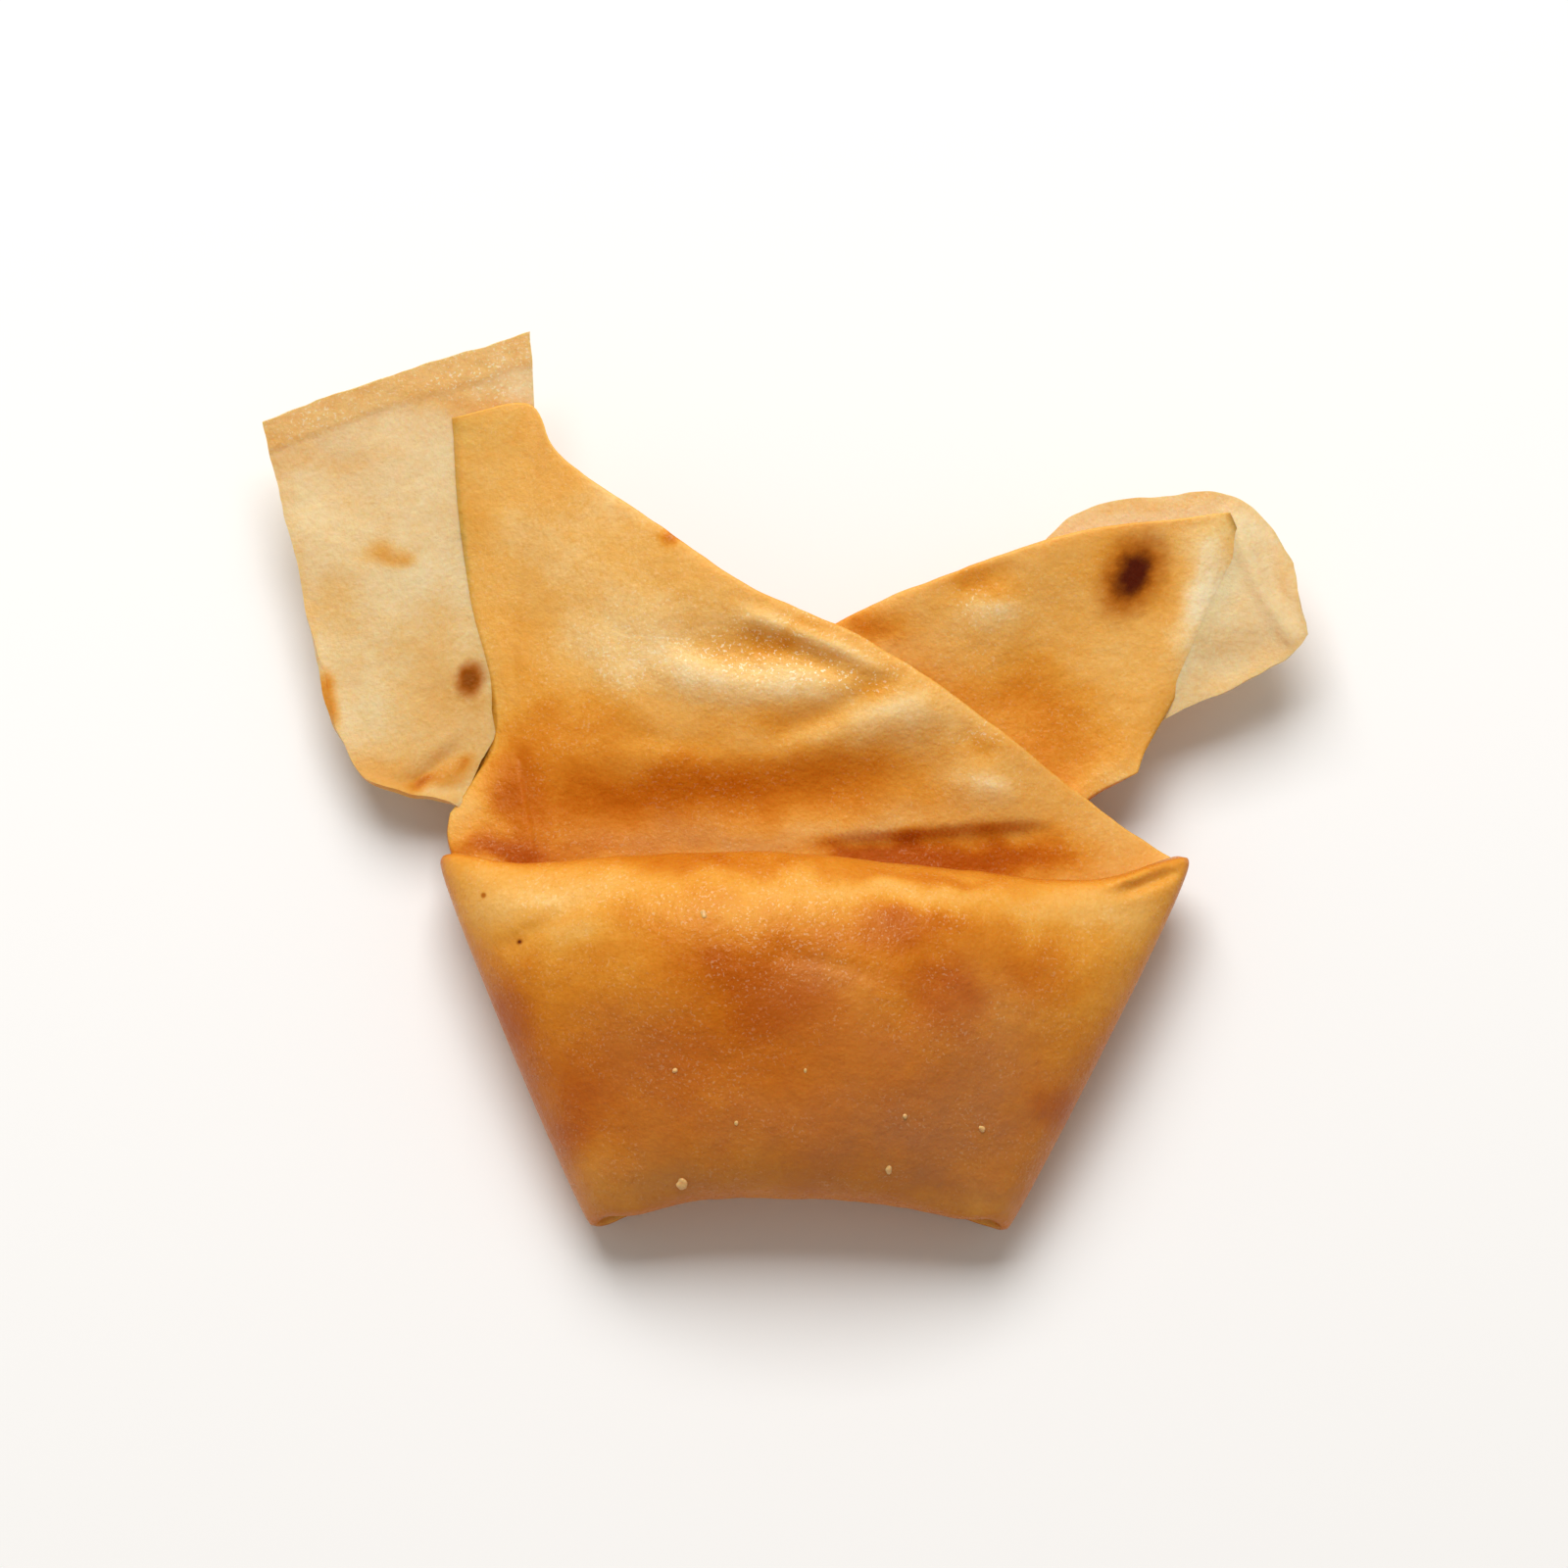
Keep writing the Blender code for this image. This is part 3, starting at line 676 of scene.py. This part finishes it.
class Recipe:
    """One material and the nodes that make it."""

    def __init__(self, name):
        self.material = bpy.data.materials.new(name)
        self.material.use_nodes = True
        self.tree = self.material.node_tree
        self.tree.nodes.clear()

    def node(self, kind, settings, values, output=0):
        """Adds a node, with its settings, the values or wires of its sockets, and the output that is used."""
        made = self.tree.nodes.new(kind)
        for name, setting in settings.items():
            setattr(made, name, setting)
        for name, value in values.items():
            if isinstance(value, Wire):
                self.tree.links.new(value.socket, made.inputs[name])
            else:
                made.inputs[name].default_value = value
        return Wire(self, made.outputs[output]) if made.outputs else made

    def ramp(self, share, stops):
        """The colour that a share from 0 to 1 picks between stops."""
        colour = self.node("ShaderNodeValToRGB", {}, {"Fac": share}, "Color")
        elements = colour.socket.node.color_ramp.elements
        while len(elements) < len(stops):
            elements.new(1.0)
        for element, (place, value) in zip(elements, stops):
            element.position, element.color = place, (*value, 1)
        return colour

    def place(self):
        """Where the shaded point is on the piece, in metres."""
        return self.node("ShaderNodeTexCoord", {}, {}, "Object")

    def grain(self, size, detail=2.0, roughness=0.5, distortion=0.0, offset=0.0):
        """Cloudy noise from 0 to 1 with grains of that size in millimetres."""
        shift = {0: self.place(), 1: (offset * MM,) * 3}
        sockets = {
            "Vector": self.node("ShaderNodeVectorMath", {"operation": "ADD"}, shift),
            "Scale": 1 / (size * MM),
            "Detail": detail,
            "Roughness": roughness,
            "Distortion": distortion,
        }
        return self.node("ShaderNodeTexNoise", {}, sockets, "Fac")

    def between(self, value, low, high, to_low=0.0, to_high=1.0):
        """A smooth rise from to_low to to_high while value goes from low to high."""
        sockets = {0: value, 1: low, 2: high, 3: to_low, 4: to_high}
        return self.node("ShaderNodeMapRange", {"interpolation_type": "SMOOTHSTEP"}, sockets)

    def mixed(self, share, first, second):
        """A colour between first and second."""
        return self.node("ShaderNodeMix", {"data_type": "RGBA"}, {0: share, 6: first, 7: second}, 2)

    def mark(self, name):
        """A mark that the piece's points carry."""
        return self.node("ShaderNodeAttribute", {"attribute_name": name}, {}, "Fac")

    def bumped(self, height, distance, strength, below=None):
        """The surface's direction where a height from 0 to 1 raises it by up to a distance in millimetres."""
        sockets = {"Strength": strength, "Distance": distance * MM, "Height": height}
        return self.node("ShaderNodeBump", {}, sockets | ({"Normal": below} if below else {}))

    def burnt(self, colour, place, halves, turn, strength):
        """Lays a burnt spot with a scorched halo over a colour, at a place and with half sizes in metres."""
        noise_sockets = {"Vector": self.place(), "Scale": 900.0, "Detail": 3.0}
        ragged = self.node("ShaderNodeTexNoise", {}, noise_sockets, "Color")
        push = BURNT_RAGGED * min(halves)
        pushed = {0: ragged, 1: (push,) * 3, 2: self.place()}
        sockets = {
            "Vector": self.node("ShaderNodeVectorMath", {"operation": "MULTIPLY_ADD"}, pushed),
            "Location": tuple(c + push / 2 for c in place),
            "Rotation": (0, 0, math.radians(turn)),
            "Scale": (*halves, BURNT_DEPTH * MM),
        }
        local = self.node("ShaderNodeMapping", {"vector_type": "TEXTURE"}, sockets)
        away = self.node("ShaderNodeVectorMath", {"operation": "LENGTH"}, {0: local}, "Value")
        halo = self.mixed(1 - self.between(away, *BURNT_HALO), colour, SCORCHED_COLOUR)
        return self.mixed(strength * (1 - self.between(away, *BURNT_CORE)), halo, BURNT_COLOUR)

    def finish(self, shader):
        self.node("ShaderNodeOutputMaterial", {}, {"Surface": shader})
        return self.material


def seen_on(piece, pixel):
    """The place on a piece that a pixel of the photograph shows, in metres, with the piece's normal there."""
    start = Vector((*plan(pixel, RAY_START), RAY_START)) * MM
    _, place, normal, _ = piece.ray_cast(start, Vector((0, math.cos(VIEW_RISE), -math.sin(VIEW_RISE))))
    return place, normal


def skin(name, piece, thin):
    """Fried dough: gold to brown where it is toasted, with painted shade in its creases and steep places,
    slightly oily with glints painted into its colour, milky with a painted sheen where it has one, and paler
    where it is a single layer.
    """
    made = Recipe(name)
    cloud = made.grain(CLOUD[0], detail=3.0, distortion=0.4)
    mottle = made.grain(MOTTLE[0], detail=3.0, offset=40)
    speck = made.grain(SPECK[0], detail=2.0, offset=90)
    stirred = (cloud - 0.5) * CLOUD[1] + (mottle - 0.5) * MOTTLE[1] + (speck - 0.5) * SPECK[1]
    # How toasted the skin looks, with the painted shade and light of creases and steep places in it.
    toast_and_shade = made.mark("toast_and_shade") + stirred * (THIN_STIR if thin else 1.0)
    colour = made.ramp(toast_and_shade, SKIN_STOPS)
    if not thin:
        # The filling shows through the skin, and a painted sheen lies where the strip has one.
        colour = made.mixed(made.mark("filling_and_sheen") * (0.4 + mottle * 0.8), colour, FILLING_AND_SHEEN_COLOUR)
    oil_and_glint = made.between(made.grain(5.0, detail=2.0, offset=15), 0.38, 0.60) * OIL_AND_GLINT_CLOUD + made.mark("oil_and_glint")
    # Painted glints: pale specks laid into the colour as highlights where the skin is oily.
    glint = made.between(made.grain(0.26, detail=1.0, offset=20), 0.58, 0.70) * oil_and_glint
    colour = made.mixed(glint * GLINT, colour, GLINT_COLOUR)
    for pixel, halves, turn, strength in BURNT_SPOTS[piece.name]:
        place, _ = seen_on(piece, pixel)
        colour = made.burnt(colour, place, [half * PIXEL * MM for half in halves], turn, strength)
    fine = made.bumped(made.grain(0.32, detail=3.0, roughness=0.65), 0.08, 0.8)
    blister = made.bumped(made.grain(1.2, detail=2.0, offset=60), 0.22, 0.6, fine)
    sockets = {
        "Base Color": colour,
        "Roughness": made.between(speck, 0.35, 0.65, 0.46, 0.28) - oil_and_glint * 0.10,
        "IOR": 1.46,
        "Specular IOR Level": 0.30,
        "Specular Tint": SHEEN_TINT,
        "Subsurface Weight": 0.3,
        "Subsurface Radius": (1.0, 0.36, 0.1),
        "Subsurface Scale": 0.0014,
        "Normal": blister,
    }
    body = made.node("ShaderNodeBsdfPrincipled", {"subsurface_method": "RANDOM_WALK"}, sockets)
    if thin:
        glow = made.node("ShaderNodeBsdfTranslucent", {}, {"Color": colour, "Normal": blister})
        share = LAYER_GLOW - made.mark("thick") * HEM_SHADE
        body = made.node("ShaderNodeMixShader", {}, {0: share, 1: body, 2: glow})
    return made.finish(body)


def crumb_skin():
    """Pale dry crumbs of dough."""
    made = Recipe("crumb")
    grain = made.grain(0.3)
    sockets = {
        "Base Color": made.mixed(grain, CRUMB_COLOUR, CRUMB_SHADE),
        "Roughness": 0.4,
        "Subsurface Weight": 0.3,
        "Subsurface Scale": 0.0005,
        "Normal": made.bumped(grain, 0.1, 0.5),
    }
    return made.finish(made.node("ShaderNodeBsdfPrincipled", {}, sockets))


def shade_steep(piece):
    """Darkens the skin where it stands steep, at the pocket's sides and folds: painted shade, added to how
    toasted the skin looks.
    """
    mesh = piece.data
    normals, toast_and_shade = np.empty(len(mesh.vertices) * 3), np.empty(len(mesh.vertices))
    mesh.vertices.foreach_get("normal", normals)
    mark = mesh.attributes["toast_and_shade"].data
    mark.foreach_get("value", toast_and_shade)
    mark.foreach_set("value", toast_and_shade + STEEP_SHADE * smooth_step(0.12, 0.85, 1 - np.abs(normals[2::3])))


def wrapper():
    """The whole rolled wrapper: the pocket, its folds and the two crossing strips."""
    piece = laid_grid("wrapper", TUBE_GRID, wrapper_place)
    in_edit_mode(
        piece,
        (bpy.ops.mesh.remove_doubles, {"threshold": MERGED_WITHIN * MM}),
        (bpy.ops.mesh.fill_holes, {"sides": 0}),
        (bpy.ops.mesh.normals_make_consistent, {"inside": False}),
    )
    bpy.ops.object.shade_smooth()
    shade_steep(piece)
    piece.data.materials.append(skin("wrapper_skin", piece, False))
    return piece


def wing(name, *form):
    """The loose single layer of one wing."""
    piece = laid_grid(name, LAYER_GRID, layer_place(*form))
    thick = piece.modifiers.new("layer", "SOLIDIFY")
    thick.thickness = LAYER * MM
    thick.offset = 0
    bpy.ops.object.modifier_apply(modifier=thick.name)
    in_edit_mode(piece, (bpy.ops.mesh.normals_make_consistent, {"inside": False}))
    bpy.ops.object.shade_smooth_by_angle(angle=SHARP_ANGLE)
    piece.data.materials.append(skin(f"{name}_skin", piece, True))
    return piece


def crumbs(on):
    """Small crumbs of fried dough that lie on the pocket."""
    made = []
    for pixel, radius in CRUMBS:
        place, normal = seen_on(on, pixel)
        deselect_all()
        bpy.ops.mesh.primitive_ico_sphere_add(subdivisions=3, radius=radius * MM, location=place)
        crumb = bpy.context.object
        crumb.rotation_mode = "QUATERNION"
        crumb.rotation_quaternion = normal.to_track_quat("Z", "X")
        crumb.scale = CRUMB_SQUASH
        bpy.ops.object.transform_apply(location=True, rotation=True, scale=True)
        for vertex in crumb.data.vertices:
            push = noise.noise(vertex.co / (CRUMB_BUMP * MM) + Vector((CRUMB_SEED, 0, 0)))
            vertex.co += vertex.normal * push * radius * MM * CRUMB_ROUGHNESS
        made.append(crumb)
    deselect_all()
    for crumb in made:
        crumb.select_set(True)
    bpy.context.view_layer.objects.active = made[0]
    bpy.ops.object.join()
    piece = bpy.context.object
    piece.name = piece.data.name = "crumbs"
    bpy.ops.object.shade_smooth()
    piece.data.materials.append(crumb_skin())
    return piece


def floor():
    """A plain pale floor."""
    deselect_all()
    bpy.ops.mesh.primitive_plane_add(size=FLOOR_SIZE * MM)
    piece = bpy.context.object
    piece.name = "floor"
    made = Recipe("pale_floor")
    sockets = {"Base Color": FLOOR_COLOUR, "Roughness": 0.55, "Specular IOR Level": 0.2}
    piece.data.materials.append(made.finish(made.node("ShaderNodeBsdfPrincipled", {}, sockets)))


def light():
    """Soft daylight from behind and above, as in the photograph, with a weak fill from the room."""
    place = Vector(LAMP_PLACE) * MM
    deselect_all()
    bpy.ops.object.light_add(type="AREA", location=place)
    lamp = bpy.context.object
    lamp.name = "back_light"
    lamp.data.size = LAMP_SIZE * MM
    lamp.data.energy = LAMP_POWER
    lamp.rotation_mode = "QUATERNION"
    lamp.rotation_quaternion = place.to_track_quat("Z", "Y")
    world = bpy.data.worlds.new("pale_room")
    world.use_nodes = True
    background = world.node_tree.nodes["Background"]
    background.inputs["Color"].default_value = ROOM_COLOUR
    background.inputs["Strength"].default_value = ROOM_STRENGTH
    bpy.context.scene.world = world
    bpy.context.scene.view_settings.view_transform = "Standard"


def camera():
    """The photograph's point of view, closer to the wonton."""
    target = Vector((*plan(FRAME_MIDDLE, AIM_HEIGHT), AIM_HEIGHT)) * MM
    back = Vector((0, -math.cos(VIEW_RISE), math.sin(VIEW_RISE)))
    deselect_all()
    bpy.ops.object.camera_add(location=target + back * CAMERA_AWAY * MM)
    made = bpy.context.object
    made.rotation_mode = "QUATERNION"
    made.rotation_quaternion = back.to_track_quat("Z", "Y")
    made.data.sensor_width = SENSOR
    made.data.lens = SENSOR * CAMERA_AWAY / FRAME_WIDTH
    made.data.clip_end = CAMERA_REACH * MM
    bpy.context.scene.camera = made


def main():
    camera()
    rolled = wrapper()
    pieces = [
        rolled,
        wing(
            "left_wing", LEFT_LAYER_FOOT, LEFT_LAYER_TOP, LEFT_LAYER_SAG, LEFT_LAYER_CREASES,
            LEFT_LAYER_TOAST, LEFT_LAYER_OIL_AND_GLINT, 1.0,
        ),
        wing(
            "right_wing", RIGHT_LAYER_FOOT, RIGHT_LAYER_TOP, RIGHT_LAYER_SAG, RIGHT_LAYER_CREASES,
            RIGHT_LAYER_TOAST, RIGHT_LAYER_OIL_AND_GLINT, 0.0,
        ),
        crumbs(rolled),
    ]
    for piece in pieces:
        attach(piece, "root")
        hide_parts("fried_wonton")
    floor()
    light()


main()
